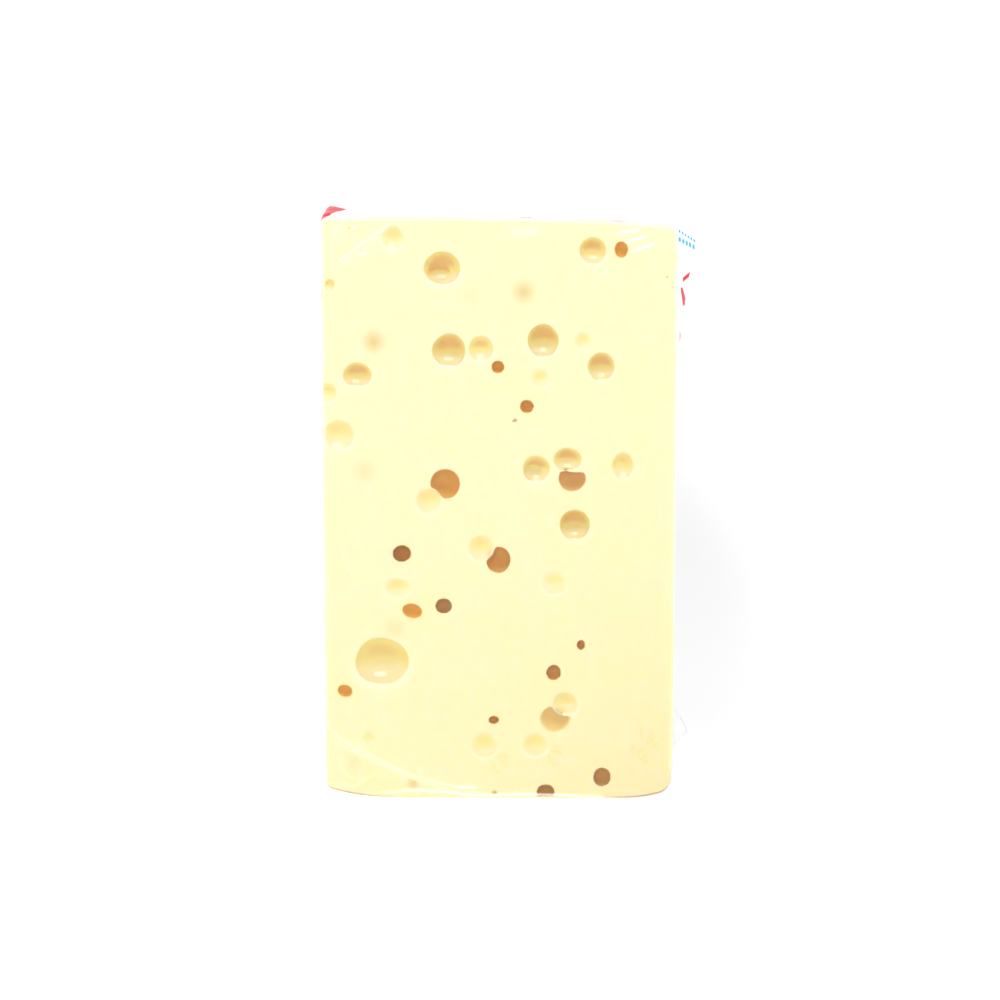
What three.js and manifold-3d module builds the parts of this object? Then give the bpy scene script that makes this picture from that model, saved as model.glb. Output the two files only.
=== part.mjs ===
// A portion of holey hard cheese in its sale pack, standing on its narrow end.
//
// The portion is a slanted block: its large cut face is upright and rectangular, and its back runs
// away from that face, so that it is thick at the left and thin at the right. A clear film covers
// the cut face, and a white printed film covers the back and the four sides.
//
// Lengths are millimetres. X runs across the cut face, Y from the cut face into the portion, and
// Z is up. The pieces are laid out from the middle of the cut face's lower edge, and the finished
// group is then moved so that its origin is the middle of the pack's underside.
import * as THREE from "three";
import { mergeVertices } from "three/addons/utils/BufferGeometryUtils.js";
import Module from "manifold-3d";

const wasm = await Module();
wasm.setup();

// The cheese.
const FACE_WIDTH = 100;
const FACE_HEIGHT = 167.5;
const TOP_DROP = 2.5; // how much lower the face's top right corner is than its top left one
const DEPTH_LEFT = 46;
const DEPTH_RIGHT = 16;
const CORNER_RADII = { bottomLeft: 6, bottomRight: 8, topRight: 3, topLeft: 1.5 };
const EDGE_ROUNDING = 1; // along the four edges of the cut face
const BACK_ROUNDING = 4; // where the slanted back meets the left and right sides
const BEYOND = 10; // how far a shape that only cuts reaches past what it cuts

// The two films. They meet edge to edge on the sides, just behind the cut face.
const CLEARANCE = 0.3; // between any two pieces
const FILM_THICKNESS = 0.4;
const FILM_OUTSIDE = CLEARANCE + FILM_THICKNESS;
const FILM_LAP = 2.4; // how far the clear film reaches back over the sides
const WRAP_START = FILM_LAP + CLEARANCE;

// Loose folded corners of the printed film stand out at the right: how far behind the cut face
// they are, and each one's outline as how far it stands out from the side, and its height.
const EAR_SETBACK = 6;
const UPPER_EAR = [
  [0, 166],
  [5, 164.5],
  [5, 159],
  [3, 149],
  [1, 131.5],
  [0, 125],
];
const LOWER_EAR = [
  [0, 24],
  [2, 22.5],
  [4, 17],
  [0, 14.5],
];

// Eyes, the gas bubbles that the cut has opened. Each is its centre across and up the face, the
// width and height of its opening, and its depth behind the face.
const OPEN_EYES = [
  [-30, 161.5, 6.5, 7.5, 2],
  [-16, 153.5, 10, 9.5, 4.5],
  [26.5, 158.5, 7.5, 7.5, 3.5],
  [12.5, 133, 8.5, 9, 5],
  [-14, 130, 9, 9, 5],
  [-5, 130.5, 7, 7.5, 2.5],
  [29, 125.5, 7.5, 8, 4],
  [-40, 123, 8, 7, 3.5],
  [-45.5, 106, 9, 8.5, 3],
  [10.5, 96, 7.5, 7.5, 3.5],
  [19.5, 98, 8, 8, 3.5],
  [20.5, 93.5, 7.5, 7, 4],
  [35, 97, 6, 7.5, 2.5],
  [21.5, 80, 8.5, 8.5, 4.5],
  [-15.5, 92, 8, 8.5, 5.5],
  [-0.5, 70, 6.5, 7.5, 5.5],
  [16, 23.5, 9, 7.5, 4.5],
  [-33.5, 40.5, 15.5, 14, 6],
];
const DEEP_EYES = [
  [34.5, 158.5, 4, 4.5, 3.5],
  [-0.5, 125.5, 3.5, 3.5, 4],
  [8, 114, 4, 4, 4],
  [-28, 72, 5, 4.5, 5],
  [-16, 56.5, 4.5, 4, 5],
  [-25, 55, 5.5, 4.5, 3.5],
  [-44.5, 31.5, 4.5, 4, 3],
  [23.5, 45, 2, 2.5, 3],
  [15.5, 37, 4, 4.5, 4],
  [-1.5, 23, 2.5, 2, 3],
  [29.5, 6.5, 5, 5.5, 4],
  [13.5, 1.5, 5, 4, 4],
];
const SHALLOW_EYES = [
  [-20, 87, 7.5, 7.5, 1.5],
  [-5, 73.5, 7.5, 7.5, 1.5],
  [18.5, 27.5, 8, 8, 1.5],
  [23.5, 133, 5, 6, 0.8],
  [11.5, 122, 5.5, 6, 0.8],
  [-29, 62, 7, 5.5, 1],
  [15.5, 63, 7, 7, 0.8],
  [-4, 16, 8, 7.5, 1.2],
  [10.5, 16, 7.5, 7, 1.2],
  [-37.5, 18, 3.5, 3.5, 0.6],
  [-48, 148.5, 3, 3.5, 0.8],
  [-49.5, 118.5, 7, 7, 1.5],
];
const EYE_SIDES = { open: 14, deep: 10, shallow: 10 }; // corners of each eye's rim
const EYE_RINGS = { open: 4, deep: 3, shallow: 2 }; // steps from each eye's rim to its floor

// Helpers for cutting and joining closed shapes.
function solidOf(geometry) {
  const bare = geometry.clone();
  bare.deleteAttribute("normal");
  bare.deleteAttribute("uv");
  const merged = mergeVertices(bare, 1e-4);
  return new wasm.Manifold(
    new wasm.Mesh({
      numProp: 3,
      vertProperties: merged.attributes.position.array,
      triVerts: new Uint32Array(merged.index.array),
    }),
  );
}

function geometryOf(solid) {
  const mesh = solid.getMesh();
  const geometry = new THREE.BufferGeometry();
  geometry.setAttribute("position", new THREE.BufferAttribute(mesh.vertProperties, 3));
  geometry.setIndex(new THREE.BufferAttribute(mesh.triVerts, 1));
  geometry.computeVertexNormals();
  return geometry;
}

// The outline of the cut face, moved outwards by `grow` all round.
function faceOutline(grow) {
  const left = -FACE_WIDTH / 2 - grow;
  const right = FACE_WIDTH / 2 + grow;
  const bottom = -grow;
  const topLeft = FACE_HEIGHT + grow;
  const topRight = topLeft - TOP_DROP;
  const radius = (corner) => CORNER_RADII[corner] + grow;
  const outline = new THREE.Shape();
  let r = radius("bottomRight");
  outline.absarc(right - r, bottom + r, r, -Math.PI / 2, 0);
  r = radius("topRight");
  outline.absarc(right - r, topRight - r, r, 0, Math.PI / 2);
  r = radius("topLeft");
  outline.quadraticCurveTo(right / 3, topLeft, left + r, topLeft);
  outline.absarc(left + r, topLeft - r, r, Math.PI / 2, Math.PI);
  r = radius("bottomLeft");
  outline.absarc(left + r, bottom + r, r, Math.PI, 1.5 * Math.PI);
  outline.closePath();
  return outline;
}

// An upright slab with that outline, from `start` to `end` behind the cut face. `rounding` is the
// radius along its front edges.
function slab(grow, start, end, rounding = 0) {
  const geometry = new THREE.ExtrudeGeometry(faceOutline(grow), {
    depth: end - start - 2 * rounding,
    curveSegments: 4,
    bevelEnabled: rounding > 0,
    bevelThickness: rounding,
    bevelSize: rounding,
    bevelOffset: -rounding,
    bevelSegments: 2,
  });
  geometry.rotateX(Math.PI / 2);
  geometry.translate(0, end - rounding, 0);
  return solidOf(geometry);
}

// Everything in front of the slanted back, with that back moved outwards by `grow`.
function inFrontOfBack(grow) {
  const side = FACE_WIDTH / 2 + grow;
  const slope = (DEPTH_RIGHT - DEPTH_LEFT) / FACE_WIDTH;
  const outwards = grow * Math.hypot(1, slope);
  const back = (x) => DEPTH_LEFT + slope * (x + FACE_WIDTH / 2) + outwards;
  const round = BACK_ROUNDING + grow;
  const plan = new THREE.Shape();
  plan.moveTo(-side, -BEYOND);
  plan.lineTo(side, -BEYOND);
  plan.lineTo(side, back(side) - round);
  plan.quadraticCurveTo(side, back(side), side - round, back(side - round));
  plan.lineTo(-side + round, back(-side + round));
  plan.quadraticCurveTo(-side, back(-side), -side, back(-side) - round);
  plan.closePath();
  const geometry = new THREE.ExtrudeGeometry(plan, {
    depth: FACE_HEIGHT + 2 * BEYOND,
    curveSegments: 3,
    bevelEnabled: false,
  });
  geometry.translate(0, 0, -BEYOND);
  return solidOf(geometry);
}

// The bubble that makes one eye: part of a ball, stretched to the opening's width and height, and
// carried forward of the face so that it cuts cleanly.
function bubble([x, z, width, height, depth], sides, rings) {
  const rim = (width + height) / 4;
  const ball = (rim * rim + depth * depth) / (2 * depth);
  const middle = depth - ball;
  const rimAngle = Math.acos(THREE.MathUtils.clamp(-middle / ball, -1, 1));
  const profile = [new THREE.Vector2(0, -BEYOND), new THREE.Vector2(rim, -BEYOND)];
  for (let i = rings; i > 0; i--) {
    const angle = (rimAngle * i) / rings;
    profile.push(new THREE.Vector2(ball * Math.sin(angle), middle + ball * Math.cos(angle)));
  }
  profile.push(new THREE.Vector2(0, depth));
  const geometry = new THREE.LatheGeometry(profile, sides);
  geometry.scale(width / 2 / rim, 1, height / 2 / rim);
  geometry.translate(x, 0, z);
  return solidOf(geometry);
}

function makeCheese() {
  let cheese = slab(0, 0, DEPTH_LEFT + BEYOND, EDGE_ROUNDING).intersect(inFrontOfBack(0));
  const kinds = { open: OPEN_EYES, deep: DEEP_EYES, shallow: SHALLOW_EYES };
  for (const [kind, eyes] of Object.entries(kinds)) {
    for (const eye of eyes) {
      cheese = cheese.subtract(bubble(eye, EYE_SIDES[kind], EYE_RINGS[kind]));
    }
  }
  return cheese;
}

// A shallow cap over the cut face, open to the back.
function makeClearFilm() {
  const outer = slab(FILM_OUTSIDE, -FILM_OUTSIDE, BEYOND, EDGE_ROUNDING + FILM_OUTSIDE);
  const inner = slab(CLEARANCE, -CLEARANCE, BEYOND, EDGE_ROUNDING + CLEARANCE);
  const frontOfLap = slab(BEYOND, -BEYOND, FILM_LAP);
  return outer.subtract(inner).intersect(frontOfLap);
}

// A loose corner of the printed film: a thin upright plate that stands out from the right side.
function ear(outlinePoints) {
  const wall = FACE_WIDTH / 2 + CLEARANCE;
  const outline = new THREE.Shape(
    outlinePoints.map(([out, up]) => new THREE.Vector2(wall + FILM_THICKNESS / 2 + out, up)),
  );
  const geometry = new THREE.ExtrudeGeometry(outline, {
    depth: FILM_THICKNESS,
    bevelEnabled: false,
  });
  geometry.rotateX(Math.PI / 2);
  geometry.translate(0, EAR_SETBACK + FILM_THICKNESS, 0);
  return solidOf(geometry);
}

// A tray over the back and the four sides, open to the front.
function makePrintedWrap() {
  const reach = DEPTH_LEFT + BEYOND;
  const outer = slab(FILM_OUTSIDE, WRAP_START, reach).intersect(inFrontOfBack(FILM_OUTSIDE));
  const inner = slab(CLEARANCE, 0, reach).intersect(inFrontOfBack(CLEARANCE));
  return outer.subtract(inner).add(ear(UPPER_EAR)).add(ear(LOWER_EAR));
}

const materials = {
  cheese: new THREE.MeshStandardMaterial({ color: "#fbf0bd", roughness: 0.5, metalness: 0 }),
  clearFilm: new THREE.MeshStandardMaterial({
    color: "#ffffff",
    roughness: 0.08,
    metalness: 0,
    transparent: true,
    opacity: 0.15,
  }),
  printedFilm: new THREE.MeshStandardMaterial({ color: "#f6f5f4", roughness: 0.3, metalness: 0 }),
};

function piece(name, solid, material) {
  const mesh = new THREE.Mesh(geometryOf(solid), material);
  mesh.name = name;
  return mesh;
}

const part = new THREE.Group();
part.add(piece("cheese", makeCheese(), materials.cheese));
part.add(piece("clear_front_film", makeClearFilm(), materials.clearFilm));
part.add(piece("printed_back_wrap", makePrintedWrap(), materials.printedFilm));

// The origin is the middle of the underside.
const bounds = new THREE.Box3().setFromObject(part);
const middle = bounds.getCenter(new THREE.Vector3());
part.position.set(-middle.x, -middle.y, -bounds.min.z);

export default part;
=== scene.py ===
"""The looks of a wedge of holey hard cheese in its sale pack.

The cheese, the clear film over its cut face and the printed film round the rest all follow one
description of the wedge's body: how far a point is from its surface. Lengths in the modelling code
are millimetres, measured from the middle of the cut face's lower edge: across (to the right),
behind (into the wedge) and up. `to_frame` turns them into the row frame's metres.
"""

import math
from collections import namedtuple

import bpy
import numpy as np
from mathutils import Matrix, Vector


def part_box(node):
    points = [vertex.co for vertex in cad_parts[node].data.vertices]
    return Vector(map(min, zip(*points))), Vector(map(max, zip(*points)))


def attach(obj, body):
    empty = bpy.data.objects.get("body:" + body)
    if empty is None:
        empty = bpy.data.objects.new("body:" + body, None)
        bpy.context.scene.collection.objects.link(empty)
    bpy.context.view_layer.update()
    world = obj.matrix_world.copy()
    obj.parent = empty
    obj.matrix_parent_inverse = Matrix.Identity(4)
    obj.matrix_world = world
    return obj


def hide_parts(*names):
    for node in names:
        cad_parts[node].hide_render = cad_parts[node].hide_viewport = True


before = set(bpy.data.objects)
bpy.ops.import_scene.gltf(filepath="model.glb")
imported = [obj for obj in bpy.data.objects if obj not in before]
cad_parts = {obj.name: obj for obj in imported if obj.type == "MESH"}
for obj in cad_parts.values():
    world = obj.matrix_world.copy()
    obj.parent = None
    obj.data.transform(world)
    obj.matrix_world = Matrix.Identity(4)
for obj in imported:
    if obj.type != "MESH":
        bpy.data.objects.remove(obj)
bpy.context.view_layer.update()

# ---------------------------------------------------------------- the wedge, in millimetres
MM = 0.001
LOW, HIGH = (np.array(corner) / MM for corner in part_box("cheese"))
FACE_WIDTH = HIGH[0] - LOW[0]
FACE_HEIGHT = HIGH[2] - LOW[2]
FACE_ORIGIN = np.array([(LOW[0] + HIGH[0]) / 2, LOW[1], LOW[2]])
STAND = LOW[2]  # the height of the cheese above the surface that the pack stands on

DEPTH_LEFT, DEPTH_RIGHT = 46.0, 16.0
BACK_SLOPE = (DEPTH_RIGHT - DEPTH_LEFT) / FACE_WIDTH
TOP_DROP = 2.5
CORNER_RADII = {"bottom_left": 1.5, "bottom_right": 3.0, "top_right": 3.0, "top_left": 1.5}
FRONT_EDGE, BACK_EDGE = 1.0, 1.5
SKIN = 0.5  # the cheese left between an eye and the wedge's other sides
SIDE_EYES = 49.0  # eyes farther across than this open the wedge's side too
CHEESE_TRIANGLES, FILM_TRIANGLES = 170_000, 180_000  # the most that each mesh is left with


def to_frame(points):
    return (np.asarray(points, float) + FACE_ORIGIN) * MM


def mesh_object(name, points, faces):
    """A Blender mesh from millimetre points and faces, linked to the scene."""
    mesh = bpy.data.meshes.new(name)
    mesh.from_pydata(to_frame(points).tolist(), [], [list(map(int, f)) for f in faces])
    mesh.validate()
    mesh.shade_smooth()
    mesh.update()
    made = bpy.data.objects.new(name, mesh)
    bpy.context.scene.collection.objects.link(made)
    return made


# ---------------------------------------------------------------- fields: distances in millimetres
def smooth_max(a, b, k):
    h = np.maximum(k - np.abs(a - b), 0) / k
    return np.maximum(a, b) + h * h * k / 4


def round_max(a, b, radius):
    """Both at once, with an edge of that radius."""
    outside = np.hypot(np.maximum(a + radius, 0), np.maximum(b + radius, 0))
    return outside - radius + np.minimum(np.maximum(a + radius, b + radius), 0)


def back_depth(x):
    return DEPTH_LEFT + BACK_SLOPE * (x + FACE_WIDTH / 2)


def face_top(x):
    across = np.clip(x / FACE_WIDTH + 0.5, 0, 1)
    return FACE_HEIGHT - TOP_DROP * across**4


def face_bottom(x):
    """The underside lifts towards both corners, where the wedge has sagged between them."""
    left = np.clip((-x - 22) / 28, 0, 1)
    right = np.clip((x - 34) / 16, 0, 1)
    return 3.2 * left**3 + 2.8 * right**2.5


def face_outline(x, z):
    """Distance from the outline of the cut face, negative inside it."""
    low = face_bottom(x)
    up = (z - low) * FACE_HEIGHT / (face_top(x) - low) - FACE_HEIGHT / 2
    radius = np.where(
        up > 0,
        np.where(x > 0, CORNER_RADII["top_right"], CORNER_RADII["top_left"]),
        np.where(x > 0, CORNER_RADII["bottom_right"], CORNER_RADII["bottom_left"]),
    )
    tapered = np.where(x > 0, 0.9, 0.4) * np.clip(1 - z / 16, 0, 1) ** 1.5
    a = np.abs(x) + tapered - FACE_WIDTH / 2 + radius
    b = np.abs(up) - FACE_HEIGHT / 2 + radius
    return np.hypot(np.maximum(a, 0), np.maximum(b, 0)) + np.minimum(np.maximum(a, b), 0) - radius


def body(x, d, z):
    back = (d - back_depth(x)) / math.hypot(1, BACK_SLOPE)
    return round_max(round_max(face_outline(x, z), -d, FRONT_EDGE), back, BACK_EDGE)


def gradient(field, points, step=0.05):
    slopes = []
    for axis in range(3):
        shift = np.zeros(3)
        shift[axis] = step
        slopes.append(field(*(points + shift).T) - field(*(points - shift).T))
    return np.stack(slopes, axis=1) / (2 * step)


def settle(field, points, level=0.0, rounds=3, most=0.5):
    """Moves points along the field's slope until they lie where it equals level."""
    for _ in range(rounds):
        slope = gradient(field, points)
        size = np.maximum((slope**2).sum(1), 0.05)
        step = (field(*points.T) - level) / size
        step = np.clip(step * np.sqrt(size), -most, most) / np.sqrt(size)
        points = points - slope * step[:, None]
    return points


def unit(vectors):
    return vectors / np.maximum(np.linalg.norm(vectors, axis=1, keepdims=True), 1e-9)


def soft_step(low, high, value):
    t = np.clip((value - low) / (high - low), 0, 1)
    return t * t * (3 - 2 * t)


LATTICE = 32  # random values to a side, after which the noise repeats


def noise(points, size, seed):
    """Smooth random values from 0 to 1 that change over `size` millimetres."""
    lattice = np.random.default_rng(seed).random((LATTICE, LATTICE, LATTICE))
    at = np.asarray(points, float) / size
    base = np.floor(at).astype(int)
    part = at - base
    part = part * part * (3 - 2 * part)
    total = 0
    for corner in np.ndindex(2, 2, 2):
        i, j, k = (base[:, a] + corner[a] for a in range(3))
        weight = 1
        for a in range(3):
            weight = weight * (part[:, a] if corner[a] else 1 - part[:, a])
        total = total + weight * lattice[i % LATTICE, j % LATTICE, k % LATTICE]
    return total


# ---------------------------------------------------------------- the eyes
# An eye is a bubble that the cut has opened: where it is, its opening's width and height, its
# depth, how round its lip is, how much painted shade darkens its walls, and how far its opening is
# turned. Another eye's wall may stand in front of it, as its lid.
Eye = namedtuple("Eye", "x z width height depth lip brown turn lid", defaults=(0.6, 0.7, 0, None))

TWIN_LEDGE = Eye(22.5, 105.9, 26, 20.8, 9.0)
LEFT_SHELF = Eye(-20.1, 87.0, 7.2, 7.3, 1.8, 0.5, 0.4)
MIDDLE_SHELF = Eye(-5.1, 73.4, 7.2, 7.3, 1.7, 0.5, 0.4)
LOW_SHELF = Eye(19.0, 27.9, 7.4, 6.9, 1.8, 0.5, 0.4)
OPEN_EYES = [
    Eye(-29.9, 161.8, 6.4, 6.6, 1.8, 0.7, 0.35),
    Eye(-16.1, 153.4, 10.1, 9.2, 4.4),
    Eye(-17.0, 152.4, 5.0, 4.6, 5.2, 0.3),
    Eye(26.3, 158.3, 7.4, 7.4, 3.4),
    Eye(12.4, 132.8, 8.5, 9.2, 5.0),
    Eye(-14.2, 130.1, 9.2, 9.2, 5.0),
    Eye(-5.2, 130.5, 7.0, 7.4, 2.6, 0.5, 0.6),
    Eye(28.8, 125.4, 7.3, 7.9, 4.0),
    Eye(-40.2, 123.1, 8.0, 6.8, 3.4),
    Eye(-45.5, 106.0, 8.8, 8.3, 2.4, 0.5, 0.4),
    Eye(10.5, 96.2, 7.6, 7.7, 3.0, 0.5),
    Eye(9.8, 95.3, 4.8, 4.4, 3.9, 0.3, 0.3),
    Eye(19.4, 98.9, 7.9, 6.5, 3.2, 0.5),
    Eye(20.7, 93.4, 7.4, 7.0, 5.0, 0.25, 0.8, 0, TWIN_LEDGE),
    Eye(35.1, 97.1, 6.0, 7.5, 2.4, 0.7, 0.5),
    Eye(21.5, 80.1, 8.3, 8.4, 4.8),
    Eye(-15.4, 91.9, 8.2, 8.3, 6.0, 0.25, 0.9, 0, LEFT_SHELF),
    Eye(-0.3, 70.0, 6.6, 7.3, 6.0, 0.25, 0.9, 0, MIDDLE_SHELF),
    Eye(16.1, 23.5, 8.8, 7.7, 3.4, 0.35, 0.55, 0, LOW_SHELF),
    Eye(-33.7, 40.4, 15.3, 13.8, 5.4, 0.5, 0.55),
]
DEEP_EYES = [
    Eye(34.3, 158.6, 3.5, 4.3, 3.0, 0.2, 1.0),
    Eye(-0.4, 125.4, 3.2, 3.2, 3.2, 0.2, 1.0),
    Eye(7.8, 114.1, 3.4, 3.4, 3.4, 0.2, 1.0),
    Eye(-27.8, 71.8, 4.5, 4.0, 6.6, 0.2, 1.0),
    Eye(-15.9, 56.6, 4.0, 3.7, 5.4, 0.2, 0.85),
    Eye(-24.9, 55.1, 5.5, 4.1, 3.2, 0.2, 1.0, -15),
    Eye(-44.3, 31.7, 4.1, 3.4, 2.6, 0.2, 1.0, -20),
    Eye(23.4, 45.2, 1.7, 2.1, 3.0, 0.2, 1.0),
    Eye(15.6, 37.1, 3.6, 4.0, 4.4, 0.2, 0.9),
    Eye(-1.6, 23.2, 2.2, 1.7, 3.0, 0.2, 1.0),
    Eye(29.6, 6.3, 4.6, 5.0, 5.2, 0.2, 0.8),
    Eye(13.4, 1.8, 4.6, 4.2, 5.2, 0.2, 0.85),
    Eye(-1.4, 1.6, 1.2, 1.0, 1.2, 0.2, 0.4),
]
SHALLOW_EYES = [
    LEFT_SHELF,
    MIDDLE_SHELF,
    LOW_SHELF,
    Eye(23.7, 132.6, 4.6, 5.4, 1.1, 0.6, 0.35),
    Eye(11.6, 122.0, 5.2, 5.6, 1.0, 0.6, 0.35),
    Eye(-29.1, 61.8, 7.0, 5.6, 1.25, 0.5, 0.4),
    Eye(15.7, 63.2, 7.0, 6.6, 1.0, 0.6, 0.3),
    Eye(-4.2, 15.8, 7.6, 7.4, 1.2, 0.5, 0.4),
    Eye(10.4, 15.8, 7.3, 6.6, 1.2, 0.5, 0.4),
    Eye(-37.7, 17.9, 3.6, 3.2, 0.55, 0.6, 0.4),
    Eye(-47.8, 148.6, 3.0, 3.4, 1.4, 0.3, 0.4),
    Eye(-49.4, 118.0, 7.0, 5.8, 2.2, 0.3, 0.5),
]
EYES = OPEN_EYES + DEEP_EYES + SHALLOW_EYES
LID_THICKNESS = 0.35


def uneven(eye, angle):
    """How much an eye's outline departs from a plain ellipse, by direction."""
    random = np.random.default_rng(round(abs(eye.x * 10) + eye.z * 100))
    total = 1.0
    for waves, size in ((2, 0.008), (3, 0.008), (4, 0.005)):
        total = total + size * random.normal() * np.cos(waves * angle + random.uniform(0, 6.3))
    return total


def bubble(eye, x, d, z):
    """Distance from the wall of an eye's bubble, negative inside it."""
    rim = (eye.width + eye.height) / 4
    ball = (rim**2 + eye.depth**2) / (2 * eye.depth)
    turn = math.radians(eye.turn)
    u, v = x - eye.x, z - eye.z
    u, v = u * math.cos(turn) + v * math.sin(turn), v * math.cos(turn) - u * math.sin(turn)
    u, v = u * rim * 2 / eye.width, v * rim * 2 / eye.height
    out = np.hypot(u, v) / uneven(eye, np.arctan2(v, u))
    return np.hypot(out, d - (eye.depth - ball)) - ball


def hollow(eye, x, d, z):
    inside = bubble(eye, x, d, z)
    if eye.lid:
        inside = smooth_max(inside, LID_THICKNESS - bubble(eye.lid, x, d, z), 0.9)
    if abs(eye.x) > SIDE_EYES:
        return inside
    return np.maximum(inside, face_outline(x, z) + SKIN)


def reach(eye):
    return max(eye.width, eye.height) / 2 + 2.5 + eye.lip


def cheese_field(x, d, z):
    value = body(x, d, z)
    for eye in EYES:
        near = (np.abs(x - eye.x) < reach(eye)) & (np.abs(z - eye.z) < reach(eye))
        if near.any():
            carved = -hollow(eye, x[near], d[near], z[near])
            value[near] = smooth_max(value[near], carved, eye.lip)
    return value


def cheese_grid(xs, ds, zs):
    """The same field at the corners of a grid."""
    value = body(xs[:, None, None], ds[None, :, None], zs[None, None, :])
    for eye in EYES:
        i = slice(*np.searchsorted(xs, [eye.x - reach(eye), eye.x + reach(eye)]))
        k = slice(*np.searchsorted(zs, [eye.z - reach(eye), eye.z + reach(eye)]))
        carved = -hollow(eye, xs[i, None, None], ds[None, :, None], zs[None, None, k])
        value[i, :, k] = smooth_max(value[i, :, k], carved, eye.lip)
    return value


# ---------------------------------------------------------------- the cheese
def surface_net(value, axes):
    """The surface where a field on a grid is nought: one point in each cell that it passes
    through, and one four-sided face round each grid edge that it crosses."""
    inside = value < 0
    corners = np.zeros([n - 1 for n in value.shape], np.int8)
    for shift in np.ndindex(2, 2, 2):
        corners += inside[tuple(slice(s, s + n) for s, n in zip(shift, corners.shape))]
    crossed = (corners > 0) & (corners < 8)
    number = np.full(corners.shape, -1)
    number[crossed] = np.arange(crossed.sum())
    total, hits, faces = np.zeros((crossed.sum(), 3)), np.zeros(crossed.sum()), []
    for a in range(3):
        b, c = (a + 1) % 3, (a + 2) % 3
        one = [slice(None)] * 3
        one[a] = slice(0, -1)
        other = [slice(None)] * 3
        other[a] = slice(1, None)
        one, other = tuple(one), tuple(other)
        at = np.stack(np.nonzero(inside[one] != inside[other]), axis=1)
        low, high = value[one][tuple(at.T)], value[other][tuple(at.T)]
        point = np.stack([axes[i][at[:, i]] for i in range(3)], axis=1)
        point[:, a] += (axes[a][at[:, a] + 1] - point[:, a]) * low / (low - high)
        ring = []
        for back_b, back_c in ((1, 1), (0, 1), (0, 0), (1, 0)):
            cell = at.copy()
            cell[:, b] -= back_b
            cell[:, c] -= back_c
            real = ((cell >= 0) & (cell < corners.shape)).all(axis=1)
            found = np.full(len(at), -1)
            found[real] = number[tuple(cell[real].T)]
            for i in range(3):
                total[:, i] += np.bincount(found[real], point[real, i], len(total))
            hits += np.bincount(found[real], minlength=len(hits))
            ring.append(found)
        ring = np.stack(ring, axis=1)
        ring = np.where((low < 0)[:, None], ring, ring[:, ::-1])
        faces.append(ring[(ring >= 0).all(axis=1)])
    return total / hits[:, None], np.concatenate(faces)


def border(faces):
    """The edges that only one four-sided face has, as pairs of points."""
    pairs = set()
    for shift in range(4):
        pairs |= set(map(tuple, np.stack([faces[:, shift], faces[:, (shift + 1) % 4]], 1).tolist()))
    return [(a, b) for a, b in pairs if (b, a) not in pairs]


def open_edge(faces):
    """The points round the one opening of a surface, in order."""
    after = {b: a for a, b in border(faces)}
    start = min(after)
    loop = [start]
    while after[loop[-1]] != start:
        loop.append(after[loop[-1]])
    return np.array(loop)


def cheese_mesh():
    cell = 0.3
    front_part = 10.0
    xs = np.arange(-FACE_WIDTH / 2 - 2 * cell, FACE_WIDTH / 2 + 2 * cell, cell)
    ds = np.arange(-2 * cell, front_part, cell)
    zs = np.arange(-2 * cell, FACE_HEIGHT + 2 * cell, cell)
    points, faces = surface_net(cheese_grid(xs, ds, zs), (xs, ds, zs))
    points = settle(cheese_field, points, rounds=2, most=cell / 3)
    # the rest has no eyes: straight walls, a rounded back edge and a flat back
    loop = open_edge(faces)
    edge = points[loop]
    outward = gradient(lambda x, z, unused: face_outline(x, z), edge[:, [0, 2, 1]])[:, :2]
    rings, ring = [], loop
    for angle in np.linspace(0, math.pi / 2, 5):
        inset = BACK_EDGE * (1 - math.cos(angle))
        x, z = edge[:, 0] - inset * outward[:, 0], edge[:, 2] - inset * outward[:, 1]
        behind = back_depth(x) - BACK_EDGE * (1 - math.sin(angle))
        new = len(points) + np.arange(len(loop))
        points = np.concatenate([points, np.stack([x, behind, z], axis=1)])
        rings.append(np.stack([ring, np.roll(ring, -1), np.roll(new, -1), new], axis=1))
        ring = new
    return points, [*faces.tolist(), *np.concatenate(rings).tolist(), ring.tolist()]


def painted_eye_light(points):
    """For each point of the cheese, how much painted shade its eye puts there and how much painted
    light falls on the rim below its eye. The painted shade grows with depth, and an eye's lower half,
    whose walls face up into the light, has less of it."""
    x, d, z = points.T
    brown, lit_rim = np.zeros(len(points)), np.zeros(len(points))
    for eye in EYES:
        near = (np.abs(x - eye.x) < reach(eye)) & (np.abs(z - eye.z) < reach(eye))
        near &= d < eye.depth + 1
        inside = 1 - soft_step(0.2, 0.75, hollow(eye, x[near], d[near], z[near]))
        across, up = (x[near] - eye.x) * 2 / eye.width, (z[near] - eye.z) * 2 / eye.height
        depth = d[near] / eye.depth
        if eye in DEEP_EYES or eye.lid:
            amount = soft_step(0.05, 0.35 * eye.depth + 0.5, d[near])
        else:
            amount = 0.5 * soft_step(0.02, 0.45, d[near]) + 0.5 * soft_step(0.35, 1, depth)
            # painted shade: the lower walls, which face up into the light, get less of it
            curved = up - 0.3 * (1 - across**2)
            amount *= 0.12 + 0.88 * soft_step(-0.85, 0.1, curved)
            # painted light: a pale crescent on the lip below the eye, which faces up into the light
            ring = 0.7 * np.exp(-(((np.hypot(across, up) - 1.1) / 0.12) ** 2))
            ring *= soft_step(0.1, -0.7, up) * soft_step(0.8, 0.3, d[near])
            lit_rim[near] = np.maximum(lit_rim[near], ring)
        brown[near] = np.maximum(brown[near], eye.brown * inside * amount)
    return brown, lit_rim


def make_cheese():
    points, faces = cheese_mesh()
    cheese = mesh_object("cheese_paste", points, faces)
    brown, lit_rim = painted_eye_light(points)
    store(cheese, "eye_painted_shade", brown)
    store(cheese, "eye_lit_rim", lit_rim)
    thin_out(cheese, CHEESE_TRIANGLES)
    return cheese


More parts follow.
